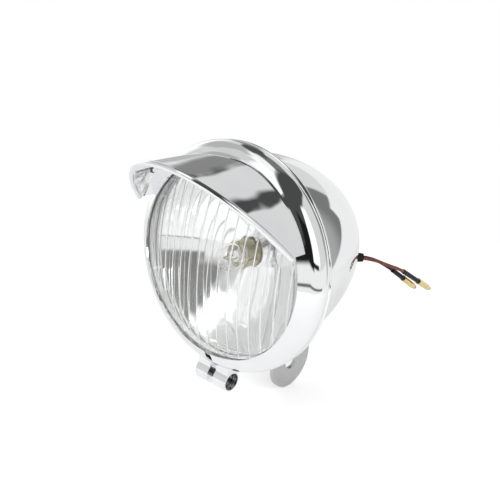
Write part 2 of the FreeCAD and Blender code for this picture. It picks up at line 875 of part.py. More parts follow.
def make_supports(filament):
    """Two support wires from the stem to the filament's ends, hollowed to its curve."""
    front = HOLDER_FRONT - mm.stem_length / 2
    reach = front - FOCUS
    wires = []
    for name, side in (("support_left", -1), ("support_right", 1)):
        wire = solid("Cylinder", name, Radius=mm.support_radius, Height=reach)
        offset = side * (mm.filament_length / 2 - mm.support_radius)
        wires.append(place(wire, x=offset, y=front, turn=AROUND_X))
    pair = doc.addObject("Part::Compound", "support_pair")
    pair.Links = wires
    return combine("Cut", "filament_supports", pair, filament)


def make_contact_disc():
    """Insulating disc in the holder's back end, bored for the contact stud."""
    radius = mm.holder_radius - mm.holder_wall
    return turned(
        "contact_disc",
        [
            (mm.stud_radius, HOLDER_BACK - mm.disc_thickness),
            (radius, HOLDER_BACK - mm.disc_thickness),
            (radius, HOLDER_BACK),
            (mm.stud_radius, HOLDER_BACK),
        ],
    )


def make_contact_stud():
    """Live contact: a stud from the cap's pip through the insulating disc to the wire's end."""
    front = HOLDER_FRONT + mm.cap_length + mm.pip_length
    return turned(
        "contact_stud",
        [
            (0.0, front),
            (mm.stud_head_radius, front),
            (mm.stud_head_radius, front + mm.stud_head_length),
            (mm.stud_radius, front + mm.stud_head_length),
            (mm.stud_radius, HOLDER_BACK + mm.stud_tail),
            (0.0, HOLDER_BACK + mm.stud_tail),
        ],
    )


def make_bracket(filled):
    """Flat tongue under the bucket: round lower end with the bolt hole, upper edge fitted to the bucket."""
    body = new_body("bracket_plate")
    front = mm.hole_back - mm.bracket_round
    back = mm.hole_back + mm.bracket_round
    outline = [
        (front, 0.0),
        (front, -mm.hole_drop),
        (mm.hole_back, -(mm.hole_drop + mm.bracket_round), mm.bracket_round),
        (back, -mm.hole_drop, mm.bracket_round),
        (back, 0.0),
    ]
    pad(body, draw_outline(body, "YZ_Plane", outline), mm.bracket_thickness, both_ways=True)
    cut_through(body, draw_circles(body, "YZ_Plane", [(mm.hole_back, -mm.hole_drop, mm.hole_radius)]))
    return combine("Cut", "mount_bracket", body, filled)


def make_welds(bracket, filled):
    """Weld seams along both sides of the tongue, where it meets the bucket."""
    wide = mm.bracket_thickness + 2 * mm.weld_leg
    zone = solid("Box", "weld_zone", Length=wide, Width=2 * mm.bracket_round, Height=mm.hole_drop)
    place(zone, x=-wide / 2, y=mm.hole_back - mm.bracket_round, z=-mm.hole_drop)
    grown = turned("weld_reach", bucket_filled(-mm.weld_leg))
    bead = combine("Cut", "weld_bead", combine("Common", "weld_band", zone, grown), filled)
    return combine("Cut", "bracket_welds", bead, bracket)


def cord_path(name, route):
    """Straight runs joined by tangent arcs, each as large as its two runs allow; prints the radii."""
    points = [Vector(*p) for p in route]
    edges = []
    radii = []
    start = points[0]
    for before, corner, after in zip(points, points[1:], points[2:]):
        inwards = (corner - before).normalize()
        outwards = (after - corner).normalize()
        half_turn = inwards.getAngle(outwards) / 2
        trim = ARC_SHARE * min((corner - before).Length, (after - corner).Length)
        radius = trim / math.tan(half_turn)
        radii.append(round(radius, 1))
        first = corner - inwards * trim
        last = corner + outwards * trim
        bisector = (outwards - inwards).normalize()
        middle = corner + bisector * (radius / math.cos(half_turn) - radius)
        edges.append(Part.LineSegment(start, first).toShape())
        edges.append(Part.Arc(first, middle, last).toShape())
        start = last
    edges.append(Part.LineSegment(start, points[-1]).toShape())
    print(name, "bend radii", radii)
    return Part.Wire(edges)


def make_wire(name, route):
    """A wire as a round tube along its route, its volume compared with section times length."""
    path = cord_path(name, route)
    heading = Vector(*route[1]) - Vector(*route[0])
    section = Part.Wire(Part.Circle(Vector(*route[0]), heading, mm.wire_radius.value).toShape())
    tube = path.makePipeShell([section], True, False)
    expected = math.pi * mm.wire_radius.value**2 * path.Length
    print(name, "length", round(path.Length, 1), "volume share", round(tube.Volume / expected, 4))
    return made(name, tube)


def exit_point(along, offset):
    """Point at the wires' exit, a way along its direction and an offset backwards from its middle."""
    angle = math.radians(mm.exit_angle.value)
    across = exit_across().value + along * math.cos(angle) - offset * math.sin(angle)
    back = mm.exit_back.value + along * math.sin(angle) + offset * math.cos(angle)
    return (across, back, -mm.exit_drop.value)


def shifted(start, points):
    """Free points moved to the lamp's frame from the point that they are counted from."""
    return [tuple(s + p for s, p in zip(start, point)) for point in points]


def tail_route(colour, offset):
    """A wire from inside the rubber boss, straight out of it, then along its free points."""
    start = exit_point(mm.wire_inside.value, offset)
    free = shifted(exit_point(0.0, 0.0), TAIL_POINTS[colour])
    return [start, exit_point(mm.wire_straight.value, offset), *free]


def lead_route(start, points, offset):
    """A lead from its terminal along its free points, then straight on to the boss's inner face."""
    end = -mm.grommet_in.value
    finish = [exit_point(end - mm.lead_straight.value, offset), exit_point(end, offset)]
    return [start, *shifted(start, points), *finish]


def make_terminal(colour, route, wire, length):
    """Insulating sleeve and brass bullet at a wire's end, in line with its last run."""
    blank = turned(
        "sleeve_blank_" + colour,
        [(0.0, 0.0), (mm.sleeve_radius, 0.0), (mm.sleeve_radius, length), (0.0, length)],
    )
    tip = length + mm.bullet_length
    groove = tip - 2 * mm.bullet_tip
    bullet = turned(
        "bullet_" + colour,
        [
            (0.0, length),
            (mm.bullet_radius, length),
            (mm.bullet_radius, groove - mm.bullet_tip),
            (mm.bullet_waist, groove),
            (mm.bullet_tip, tip - mm.bullet_tip),
            (0.0, tip, mm.bullet_tip),
        ],
    )
    last, before = Vector(*route[-1]), Vector(*route[-2])
    along = (last - before).normalize()
    start = last - along * mm.sleeve_grip.value
    for piece in (blank, bullet):
        place(piece, start.x, start.y, start.z, FreeCAD.Rotation(Vector(0, 1, 0), along))
    return [combine("Cut", "sleeve_" + colour, blank, wire), bullet]


envelope = turned("ring_envelope", ring_outside())
filled = turned("bucket_envelope", bucket_filled())
bucket = make_bucket()
bracket = make_bracket(filled)
filament = make_filament()
tails = {
    "brown": tail_route("brown", -mm.wire_offset.value),
    "black": tail_route("black", mm.wire_offset.value),
}
wires = [make_wire("wire_" + colour, route) for colour, route in tails.items()]
stud_end = (HOLDER_BACK + mm.stud_tail).value
flange_end = (NECK_BACK + mm.holder_flange_wall).value
live = lead_route((0.0, stud_end, 0.0), LIVE_POINTS, mm.lead_offset.value)
earth_start = (EARTH_START[0], flange_end, EARTH_START[1])
earth = lead_route(earth_start, EARTH_POINTS, -mm.lead_offset.value)
pieces = [
    bucket,
    make_trim_ring(),
    make_visor(envelope),
    make_lug("clamp_barrel_left", -1, envelope),
    make_lug("clamp_barrel_right", 1, envelope),
    make_screw(),
    make_lens(),
    make_gasket(),
    make_reflector(),
    make_holder(),
    make_cap(),
    make_cap_contact(),
    make_globe(),
    make_stem(),
    filament,
    make_supports(filament),
    make_contact_disc(),
    make_contact_stud(),
    bracket,
    make_welds(bracket, filled),
    make_grommet(bucket, wires),
    *wires,
    *make_terminal("brown", tails["brown"], wires[0], mm.sleeve_brown_length),
    *make_terminal("black", tails["black"], wires[1], mm.sleeve_black_length),
    make_wire("lead_live", live),
    make_wire("lead_earth", earth),
]

doc.recompute()
for item in doc.Objects:
    if {"Invalid", "Error"} & set(item.State):
        raise RuntimeError(f"{item.Label} failed: {item.State}")
for piece in pieces:
    if piece.Shape.isNull() or not piece.Shape.isValid():
        raise RuntimeError(f"{piece.Label} has no valid shape")
os.makedirs("parts", exist_ok=True)
for piece in pieces:
    piece.Shape.exportStep(os.path.join("parts", piece.Label + ".step"))
    print(piece.Label, "solids", len(piece.Shape.Solids), "volume", round(piece.Shape.Volume, 1))
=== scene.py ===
# %% [markdown]
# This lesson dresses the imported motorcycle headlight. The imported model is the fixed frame: every
# length below is written in millimetres in the lamp's own frame, with the axis along Y and the lens
# looking towards -Y, and is moved to the frame of the bolt hole, in metres, when a mesh is made.

import math

import bmesh
import bpy
import numpy as np
from mathutils import Matrix, Vector


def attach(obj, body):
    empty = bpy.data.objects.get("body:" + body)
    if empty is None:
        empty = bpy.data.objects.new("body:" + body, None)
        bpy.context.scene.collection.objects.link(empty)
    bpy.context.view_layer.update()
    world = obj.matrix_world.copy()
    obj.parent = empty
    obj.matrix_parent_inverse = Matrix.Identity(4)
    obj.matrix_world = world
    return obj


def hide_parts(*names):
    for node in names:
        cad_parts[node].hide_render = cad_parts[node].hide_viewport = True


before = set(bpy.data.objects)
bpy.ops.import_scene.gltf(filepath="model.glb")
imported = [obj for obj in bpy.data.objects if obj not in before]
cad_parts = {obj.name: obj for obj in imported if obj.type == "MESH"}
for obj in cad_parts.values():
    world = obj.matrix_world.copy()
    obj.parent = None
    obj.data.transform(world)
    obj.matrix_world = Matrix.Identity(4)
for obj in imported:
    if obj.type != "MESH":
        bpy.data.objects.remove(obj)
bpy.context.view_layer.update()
LAMP_ZERO = np.array([0.0, -0.0655, 0.0865])
print("nodes in the frame:", len(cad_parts))

# %% [markdown]
# Most of the lamp is turned or spun metal, so most pieces are a profile carried round the lamp's
# axis. A profile is a row of points (radius, place along the axis), and arcs in it are sampled finely,
# because polished metal shows every facet in its reflections.

# %% Profiles and grids
def arc(centre, radius, start, end, count):
    """Points centre + radius * (cos a, sin a), with a going evenly from start to end in degrees."""
    angle = np.radians(np.linspace(start, end, count))
    x, y = centre[0] + radius * np.cos(angle), centre[1] + radius * np.sin(angle)
    return np.stack([x, y], axis=1)


def outline(*parts):
    """Single points and rows of points joined into one profile."""
    return np.concatenate([np.atleast_2d(np.asarray(part, dtype=float)) for part in parts])


def grid_faces(rows, columns, close_rows=False, close_columns=False):
    """Quads of a grid: each joins a point with those in the next row and the next column."""
    row = np.arange(rows if close_rows else rows - 1)[:, None]
    column = np.arange(columns if close_columns else columns - 1)[None, :]
    next_row, next_column = (row + 1) % rows, (column + 1) % columns
    corners = [
        row * columns + column,
        row * columns + next_column,
        next_row * columns + next_column,
        next_row * columns + column,
    ]
    return np.stack(corners, axis=-1).reshape(-1, 4)


def lathe(profile, count):
    """Point (r cos a, y, r sin a) for each point (r, y) of a closed profile and each angle a."""
    angle = np.linspace(0.0, 2.0 * np.pi, count, endpoint=False)
    radius, along = profile[:, :1], profile[:, 1:]
    x, z = radius * np.cos(angle), radius * np.sin(angle)
    points = np.stack([x, np.broadcast_to(along, x.shape), z], axis=-1)
    return points.reshape(-1, 3), grid_faces(len(profile), count, True, True)


def tube(path, radius, sides):
    """Circles of the given radius, square to the path's direction at each of its points."""
    step = np.gradient(path, axis=0)
    ahead = step / np.linalg.norm(step, axis=1, keepdims=True)
    across = np.cross(ahead, [0.0, 0.0, 1.0])
    across /= np.linalg.norm(across, axis=1, keepdims=True)
    upward = np.cross(across, ahead)
    angle = np.linspace(0.0, 2.0 * np.pi, sides, endpoint=False)[None, :, None]
    ring = np.cos(angle) * across[:, None] + np.sin(angle) * upward[:, None]
    points = path[:, None] + np.reshape(radius, (-1, 1, 1)) * ring
    return points.reshape(-1, 3), grid_faces(len(path), sides, False, True)


print("profile tools ready")

# %% [markdown]
# A piece is put into a mesh once: points to metres in the bolt hole's frame, doubles merged so that
# seams and poles close, normals turned outwards, and faces smooth except over true corners. It then
# rides on the lamp's one body and stands for its solid.

# %% Put a surface into the scene
CORNER = math.radians(28.0)


def add_piece(name, surfaces, finish, slot, *nodes):
    """One mesh from several (points, faces) surfaces; it replaces the named solids."""
    points, faces, start = [], [], 0
    for part_points, part_faces in surfaces:
        points.append(part_points)
        faces.extend((np.asarray(part_faces) + start).tolist())
        start += len(part_points)
    mesh = bpy.data.meshes.new(name)
    mesh.from_pydata((np.concatenate(points) * 0.001 + LAMP_ZERO).tolist(), [], faces)
    work = bmesh.new()
    work.from_mesh(mesh)
    bmesh.ops.remove_doubles(work, verts=work.verts, dist=2e-7)
    bmesh.ops.dissolve_degenerate(work, edges=work.edges, dist=1e-7)
    bmesh.ops.recalc_face_normals(work, faces=work.faces)
    work.to_mesh(mesh)
    work.free()
    mesh.shade_smooth()
    mesh.set_sharp_from_angle(angle=CORNER)
    mesh.materials.append(finish)
    thing = bpy.data.objects.new(name, mesh)
    bpy.context.scene.collection.objects.link(thing)
    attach(thing, "root")
    if nodes:
        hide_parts(*nodes)
    print(name, "faces", len(mesh.polygons))
    return thing


# %% [markdown]
# Every finish is one principled shader whose roughness and fine relief come from noise in Object
# coordinates. Polished metal differs from satin metal only in how rough it is and how far the noise
# is drawn out, so one recipe with named settings serves them all.

# %% Recipe for a finish
EVEN = (1.0, 1.0, 1.0)
RELIEF_DEPTH = 0.0002


def new_finish(name):
    """An empty node material, its tree and its principled shader."""
    material = bpy.data.materials.new(name)
    material.use_nodes = True
    return material, material.node_tree, material.node_tree.nodes["Principled BSDF"]


def maths(tree, operation, first, second=0.0):
    """One maths node; a number is set on its socket and a socket is linked."""
    node = tree.nodes.new("ShaderNodeMath")
    node.operation = operation
    for index, value in enumerate((first, second)):
        if isinstance(value, bpy.types.NodeSocket):
            tree.links.new(value, node.inputs[index])
        else:
            node.inputs[index].default_value = value
    return node.outputs[0]


def span(tree, value, start, end, first=0.0, second=1.0, eased=False):
    """The value carried from start..end to first..second and held there outside."""
    node = tree.nodes.new("ShaderNodeMapRange")
    node.interpolation_type = "SMOOTHSTEP" if eased else "LINEAR"
    ends = {"From Min": start, "From Max": end, "To Min": first, "To Max": second}
    for socket, number in ends.items():
        node.inputs[socket].default_value = number
    tree.links.new(value, node.inputs["Value"])
    return node.outputs["Result"]


def noise(tree, scale, detail=3.0, stretch=EVEN):
    """Noise in Object coordinates, drawn out by a stretch along each axis."""
    place = tree.nodes.new("ShaderNodeTexCoord")
    mapping = tree.nodes.new("ShaderNodeMapping")
    mapping.inputs["Scale"].default_value = stretch
    texture = tree.nodes.new("ShaderNodeTexNoise")
    texture.inputs["Scale"].default_value = scale
    texture.inputs["Detail"].default_value = detail
    tree.links.new(place.outputs["Object"], mapping.inputs["Vector"])
    tree.links.new(mapping.outputs["Vector"], texture.inputs["Vector"])
    return texture.outputs["Fac"]


def between(tree, value, low, high):
    """The noise value carried from its usual span to low..high."""
    return span(tree, value, 0.3, 0.7, low, high)


def tinted(tree, value, first, second):
    """A colour that goes from first to second with the noise value."""
    band = tree.nodes.new("ShaderNodeValToRGB")
    for stop, position, tone in zip(band.color_ramp.elements, (0.35, 0.65), (first, second)):
        stop.position = position
        stop.color = (*tone, 1.0)
    tree.links.new(value, band.inputs["Fac"])
    return band.outputs["Color"]


print("nodes of a finish ready")

# %% [markdown]
# A finish is put together from those nodes: one noise drives its colour, its roughness and its
# relief. Sheet metal that was pressed and polished also has broad, shallow waves.

# %% Finish from one noise
def surface_finish(
    name, first, second, rough, scale, relief=0.0, metallic=0.0, shine=0.5, stretch=EVEN
):
    """Colour between two tones, roughness between two values and a relief, all from one noise."""
    material, tree, shader = new_finish(name)
    grain = noise(tree, scale, stretch=stretch)
    shader.inputs["Metallic"].default_value = metallic
    shader.inputs["Specular IOR Level"].default_value = shine
    tree.links.new(tinted(tree, grain, first, second), shader.inputs["Base Color"])
    tree.links.new(between(tree, grain, *rough), shader.inputs["Roughness"])
    if relief:
        bump = tree.nodes.new("ShaderNodeBump")
        bump.inputs["Strength"].default_value = relief
        bump.inputs["Distance"].default_value = RELIEF_DEPTH
        tree.links.new(grain, bump.inputs["Height"])
        tree.links.new(bump.outputs["Normal"], shader.inputs["Normal"])
    return material


def add_waves(material, scale, depth):
    """Broad shallow waves, as pressing leaves in sheet metal: a relief of long noise."""
    tree = material.node_tree
    bump = tree.nodes.new("ShaderNodeBump")
    bump.inputs["Distance"].default_value = depth
    tree.links.new(noise(tree, scale, detail=1.0), bump.inputs["Height"])
    tree.links.new(bump.outputs["Normal"], tree.nodes["Principled BSDF"].inputs["Normal"])
    return material


print("finish recipe ready")

# %% [markdown]
# Bright chrome plating is a mirror with a faint blue cast, so its colour comes from the room around
# it. Its roughness changes a little over the surface, as polishing leaves it. The mirror inside is
# brighter and softer, because vapour-coated metal scatters slightly.

# %% Metal finishes
METAL = 1.0
CHROME = (0.90, 0.905, 0.915), (0.93, 0.935, 0.94), (0.02, 0.05), 60.0, 0.0, METAL
BRASS = (0.80, 0.60, 0.22), (0.92, 0.74, 0.36), (0.10, 0.22), 500.0, 0.05, METAL
chrome = surface_finish("bright_chrome", *CHROME)
wavy_chrome = add_waves(surface_finish("pressed_chrome", *CHROME), 40.0, 0.0009)
mirror = surface_finish(
    "mirror_coat", (0.93, 0.93, 0.93), (0.96, 0.96, 0.96), (0.03, 0.07), 90.0, 0.02, METAL
)
satin = surface_finish(
    "satin_plate", (0.56, 0.56, 0.565), (0.66, 0.66, 0.665), (0.34, 0.46), 160.0, 0.08, METAL,
    stretch=(1.0, 1.0, 12.0),
)
screw_metal = surface_finish(
    "dark_screw_plate", (0.13, 0.13, 0.135), (0.24, 0.24, 0.25), (0.22, 0.36), 400.0, 0.05, METAL
)
khaki = surface_finish(
    "khaki_plate", (0.36, 0.33, 0.21), (0.50, 0.46, 0.31), (0.30, 0.44), 320.0, 0.05, METAL
)
brass = surface_finish("bare_brass", *BRASS)
cap_brass = surface_finish(
    "dull_brass", (0.50, 0.44, 0.29), (0.62, 0.55, 0.37), (0.25, 0.4), 400.0, 0.05, METAL
)
solder = surface_finish(
    "dull_solder", (0.52, 0.52, 0.53), (0.66, 0.66, 0.66), (0.35, 0.5), 700.0, 0.2, METAL
)
tungsten = surface_finish(
    "drawn_tungsten", (0.28, 0.28, 0.29), (0.4, 0.4, 0.41), (0.3, 0.45), 900.0, 0.05, METAL
)
print("metal finishes made")

# %% [markdown]
# Rubber, insulation and moulded board are dull: a wide soft highlight and a fine relief that stands for
# the pores of the moulding. All are dark but the gasket behind the lens, which is pale.

# %% Rubber and insulation
rubber = surface_finish(
    "moulded_rubber", (0.008, 0.008, 0.009), (0.02, 0.02, 0.021), (0.5, 0.7), 900.0, 0.3, shine=0.12
)
pale_rubber = surface_finish(
    "pale_gasket", (0.68, 0.68, 0.66), (0.78, 0.78, 0.76), (0.5, 0.65), 500.0, 0.2, shine=0.3
)
board = surface_finish(
    "pressed_board", (0.10, 0.055, 0.03), (0.2, 0.12, 0.07), (0.55, 0.7), 600.0, 0.3, shine=0.3
)
brown_skin = surface_finish(
    "brown_insulation", (0.12, 0.035, 0.025), (0.19, 0.065, 0.045), (0.32, 0.42), 420.0, 0.1,
    shine=0.25,
)
black_skin = surface_finish(
    "black_insulation", (0.004, 0.0045, 0.007), (0.011, 0.012, 0.016), (0.3, 0.42), 420.0, 0.1,
    shine=0.15,
)
print("rubber and insulation made")

# %% [markdown]
# Some finishes change at a place on the piece. The place is measured in the lamp's millimetres from a
# point, and a distance from that point then sets a tone. The brass terminals use it first: their tips
# are painted dark, a painted reflection of the dark surroundings that their glossy ends mirror.

# %% Places on a piece, and the terminals' tips
LAMP_CENTRE = (0.0, 0.0, 0.0)
TIP_DARK, TIP_CLEAR, TIP_TONE = 1.8, 3.2, 0.06


def from_point(tree, centre, keep=EVEN):
    """Place relative to a point, in lamp millimetres; a direction that isn't kept is zero."""
    place = tree.nodes.new("ShaderNodeTexCoord")
    move = tree.nodes.new("ShaderNodeVectorMath")
    move.operation = "SUBTRACT"
    move.inputs[1].default_value = np.array(centre) * 0.001 + LAMP_ZERO
    scale = tree.nodes.new("ShaderNodeVectorMath")
    scale.operation = "MULTIPLY"
    scale.inputs[1].default_value = np.array(keep) * 1000.0
    tree.links.new(place.outputs["Object"], move.inputs[0])
    tree.links.new(move.outputs["Vector"], scale.inputs[0])
    return scale.outputs["Vector"]


def length_of(tree, vector):
    """Length of a vector."""
    node = tree.nodes.new("ShaderNodeVectorMath")
    node.operation = "LENGTH"
    tree.links.new(vector, node.inputs[0])
    return node.outputs["Value"]


def parts_of(tree, vector):
    """The x, y and z of a vector."""
    node = tree.nodes.new("ShaderNodeSeparateXYZ")
    tree.links.new(vector, node.inputs[0])
    return node.outputs


def painted_reflection_tip(name, tip):
    """Bare brass with a painted dark reflection at its tip: its tone is scaled by the distance from the
    tip.
    """
    material = surface_finish(name, *BRASS)
    tree = material.node_tree
    tone = tree.nodes["Principled BSDF"].inputs["Base Color"]
    dim = tree.nodes.new("ShaderNodeVectorMath")
    dim.operation = "SCALE"
    away = length_of(tree, from_point(tree, tip))
    tree.links.new(tone.links[0].from_socket, dim.inputs[0])
    # Painted reflection: the brass tone falls to TIP_TONE close to the tip, standing in for the dark
    # surroundings it mirrors
    tree.links.new(span(tree, away, TIP_DARK, TIP_CLEAR, TIP_TONE, 1.0), dim.inputs["Scale"])
    tree.links.new(dim.outputs["Vector"], tone)
    return material


brown_tip = painted_reflection_tip("brass_brown_end", (51.8, 135.1, -35.0))
black_tip = painted_reflection_tip("brass_black_end", (48.7, 121.6, -31.9))
print("terminal tips made")

# %% [markdown]
# Glass is clear, and light passes straight through it for shadows. The lens is a pressing: the crests
# of its ribs are matt and milky, so that they show as white lines, and its skirt is backed with white,
# because clear glass there would only show the dark gap behind the ring.

# %% Glass
PITCH, DOME_CENTRE, INNER_LIMIT = 7.0, 137.077, 159.0
SKIRT_OUT, SKIRT_BACK = 57.4, -6.6
CREST_ROUGH, CREST_MILK = 0.5, 0.6


def clear_glass(name, tint, index, haze):
    """Clear glass: transparent to shadow rays, so that what is inside stays lit."""
    material, tree, shader = new_finish(name)
    shader.inputs["Base Color"].default_value = (*tint, 1.0)
    shader.inputs["Transmission Weight"].default_value = 1.0
    shader.inputs["IOR"].default_value = index
    tree.links.new(between(tree, noise(tree, 120.0), 0.0, haze), shader.inputs["Roughness"])
    passing = tree.nodes.new("ShaderNodeBsdfTransparent")
    path = tree.nodes.new("ShaderNodeLightPath")
    mix = tree.nodes.new("ShaderNodeMixShader")
    tree.links.new(path.outputs["Is Shadow Ray"], mix.inputs["Fac"])
    tree.links.new(shader.outputs["BSDF"], mix.inputs[1])
    tree.links.new(passing.outputs["BSDF"], mix.inputs[2])
    tree.links.new(mix.outputs["Shader"], tree.nodes["Material Output"].inputs["Surface"])
    return material


def rib_crests(tree):
    """1 on the crests of the inner face's ribs: where x is close to a whole number of pitches."""
    x = parts_of(tree, from_point(tree, LAMP_CENTRE))[0]
    crest = span(tree, maths(tree, "PINGPONG", x, PITCH / 2.0), 0.22, 0.5, 1.0, 0.0)
    depth = length_of(tree, from_point(tree, (0.0, DOME_CENTRE, 0.0)))
    inner = span(tree, depth, INNER_LIMIT, INNER_LIMIT + 0.4, 1.0, 0.0)
    return maths(tree, "MULTIPLY", crest, inner)


def skirt_walls(tree):
    """1 on the skirt's outer wall and its back: past a radius and past a place along the axis."""
    across = length_of(tree, from_point(tree, LAMP_CENTRE, (1.0, 0.0, 1.0)))
    along = parts_of(tree, from_point(tree, LAMP_CENTRE))[1]
    wall = span(tree, across, SKIRT_OUT - 0.2, SKIRT_OUT - 0.1)
    rear = span(tree, along, SKIRT_BACK - 0.2, SKIRT_BACK - 0.1)
    return maths(tree, "MAXIMUM", wall, rear)


def pressed_lens(name):
    """Clear glass with matt, milky rib crests and a skirt that is backed with white."""
    material = clear_glass(name, (0.985, 0.99, 0.99), 1.5, 0.02)
    tree = material.node_tree
    shader = tree.nodes["Principled BSDF"]
    crests = rib_crests(tree)
    polish = shader.inputs["Roughness"].links[0].from_socket
    matt = maths(tree, "MAXIMUM", maths(tree, "MULTIPLY", crests, CREST_ROUGH), polish)
    milk = maths(tree, "MAXIMUM", maths(tree, "MULTIPLY", crests, CREST_MILK), skirt_walls(tree))
    tree.links.new(matt, shader.inputs["Roughness"])
    tree.links.new(maths(tree, "SUBTRACT", 1.0, milk), shader.inputs["Transmission Weight"])
    return material


lens_glass = pressed_lens("lens_pressing")
bulb_glass = clear_glass("bulb_blown", (0.99, 0.99, 0.985), 1.45, 0.01)
stem_glass = clear_glass("stem_press", (0.95, 0.95, 0.93), 1.5, 0.3)
stem_glass.node_tree.nodes["Principled BSDF"].inputs["Transmission Weight"].default_value = 0.4
print("glass made")

# %% [markdown]
# The clamp ring is a rolled strip: a bevelled lip over the lens, a round crown, and a small bead at
# the back. The section is carried round the axis, but not all the way: the strip is cut at the bottom
# and the two cut faces stand parallel, so each point's angle starts where its x reaches half the gap.

# %% Clamp ring
HALF_SPLIT = 2.2
LIP_RADIUS, LIP_FRONT = 55.0, -16.0
RING_CROWN = (56.0, -5.0)


def split_ring(profile, count=300):
    """Angle a runs from -90 degrees + asin(half gap / r) round to its mirror image."""
    radius, along = profile[:, :1], profile[:, 1:]
    edge = np.arcsin(HALF_SPLIT / radius)
    share = np.linspace(0.0, 1.0, count)
    angle = -np.pi / 2.0 + edge + share * (2.0 * np.pi - 2.0 * edge)
    x, z = radius * np.cos(angle), radius * np.sin(angle)
    points = np.stack([x, np.broadcast_to(along, x.shape), z], axis=-1)
    return points.reshape(-1, 3), grid_faces(len(profile), count, True, False)


def add_split_ring(name, profile, finish, slot, node):
    """The split ring as a piece, with a face over each of its two cut ends."""
    piece = add_piece(name, [split_ring(profile)], finish, slot, node)
    work = bmesh.new()
    work.from_mesh(piece.data)
    rims = [edge for edge in work.edges if edge.is_boundary]
    bmesh.ops.holes_fill(work, edges=rims, sides=0)
    bmesh.ops.recalc_face_normals(work, faces=work.faces)
    work.to_mesh(piece.data)
    work.free()
    piece.data.set_sharp_from_angle(angle=CORNER)


ring_section = outline(
    (LIP_RADIUS, LIP_FRONT),
    (57.0, -14.845),
    arc(RING_CROWN, 9.0, -59.8, 26.4, 40),
    arc((63.562, 0.0), 1.0, -90.0, 90.0, 13),
    (57.4, 1.0),
    (57.4, 0.0),
    (62.562, 0.0),
    arc(RING_CROWN, 8.0, 30.0, -59.8, 24),
    (LIP_RADIUS, -14.845),
)
add_split_ring("clamp_ring", ring_section, chrome, "chrome", "trim_ring")

# %% [markdown]
# The bucket is drawn sheet: a rolled mouth, a long side curve and a round crown that meet in line.
# A profile with both walls in it is turned once round, which also closes the inside.

# %% Bucket
SIDE_CENTRE, SIDE_RADIUS = (-52.594, 3.0), 109.594
BUCKET_CROWN, CROWN_RADIUS = (0.0, 40.5), 45.0
MEETING = (36.640, 66.625)


def bucket_wall(depth, count):
    """Crown and side as two arcs that meet in line, a depth under the outer surface, pole first."""
    across, along = MEETING[0] - SIDE_CENTRE[0], MEETING[1] - SIDE_CENTRE[1]
    meet = math.degrees(math.atan2(along, across))
    crown = arc(BUCKET_CROWN, CROWN_RADIUS - depth, 90.0, meet, count)
    side = arc(SIDE_CENTRE, SIDE_RADIUS - depth, meet, 0.0, count)
    return outline(crown, side[1:])


bucket_section = outline(
    bucket_wall(0.0, 48),
    (57.0, 0.0),
    arc((59.6, -2.0), 2.0, 90.0, 0.0, 6),
    arc((59.6, -2.8), 2.0, 0.0, -90.0, 6),
    (56.0, -4.8),
    bucket_wall(1.0, 32)[::-1],
)
add_piece("bucket_shell", [lathe(bucket_section, 300)], chrome, "chrome", "bucket")

# %% [markdown]
# The visor is a piece of tube cut off by a sloping plane. Along the angle t its front edge runs at
# y = -0.98 z - 2.25, and its rear edge follows the ring's bevel. The front edge is rolled over a wire:
# a round hem along the same curve, with rounded ends.

# %% Visor and its hem
END, SLOPE, AHEAD = 22.5, 0.98, 2.25
VISOR_OUT, VISOR_MIDDLE, VISOR_IN = 59.4, 58.9, 58.4
BEVEL = math.tan(math.radians(30.0))
TURN = np.radians(np.linspace(END, 180.0 - END, 181))


def visor_line(radius, share):
    """Points at a radius, a share of the way from the ring's bevel to the sloping front."""
    height = radius * np.sin(TURN)
    back = LIP_FRONT + (radius - LIP_RADIUS) * BEVEL
    front = -SLOPE * height - AHEAD
    return np.stack([radius * np.cos(TURN), back + share * (front - back), height], axis=-1)


def visor_sheet(count=40):
    """A closed loop, out along one wall and back along the other, carried over the angle t."""
    shares = np.linspace(0.0, 1.0, count)
    out = [visor_line(VISOR_OUT, share) for share in shares]
    back = [visor_line(VISOR_IN, share) for share in shares[::-1]]
    points = np.stack(out + back, axis=1)
    faces = grid_faces(len(TURN), 2 * count, False, True)
    first = np.arange(count - 1)
    ends = []
    for start in (0, (len(TURN) - 1) * 2 * count):
        mate = 2 * count - 1 - first
        ends.append(np.stack([first, first + 1, mate - 1, mate], axis=-1) + start)
    return points.reshape(-1, 3), np.concatenate([faces, *ends])


def hem_tube(radius=1.598, cap=8):
    """A tube along the sheet's middle line, with half balls at its ends: radius r cos b at r sin b."""
    path = visor_line(VISOR_MIDDLE, 1.0)
    bend = np.linspace(np.pi / 2.0, 0.0, cap, endpoint=False)
    first = (path[0] - path[1]) / np.linalg.norm(path[0] - path[1])
    last = (path[-1] - path[-2]) / np.linalg.norm(path[-1] - path[-2])
    head = path[0] + radius * np.sin(bend)[:, None] * first
    tail = path[-1] + radius * np.sin(bend[::-1])[:, None] * last
    ball = radius * np.cos(bend)
    radii = np.concatenate([ball, np.full(len(path), radius), ball[::-1]])
    return tube(np.concatenate([head, path, tail]), radii, 28)


add_piece("visor_peak", [visor_sheet(), hem_tube()], wavy_chrome, "chrome", "visor")

# %% [markdown]
# The lens is pressed glass with upright flutes on its inner face. The inner face is a grid whose
# columns lie along the flutes, so each ridge falls on a row of points; rows of rings around it carry
# the border, the skirt, the bevelled seat and the domed front, on the same angles, so the glass closes.

# %% Lens
FLUTE, FIELD = 0.12, 49.0
RIB, RIB_HALF = 0.10, 0.28
DOME, INNER = 161.653, 158.253
SKIRT_IN, SEAT, FACE_EDGE = 53.6, -13.46, 54.6


def flute_columns():
    """Places across the field: ten steps to a flute, finer over each rib and towards the two ends."""
    ribs = np.arange(-7, 8)[:, None] * PITCH + np.linspace(-2.0, 2.0, 9) * RIB_HALF
    steps = np.concatenate([np.arange(-70, 71) * (PITCH / 10.0), ribs.ravel()])
    ends = FIELD * np.cos(np.radians(np.arange(1.0, 13.0)))
    return np.unique(np.concatenate([steps[np.abs(steps) < FIELD - 1.0], ends, -ends]).round(4))


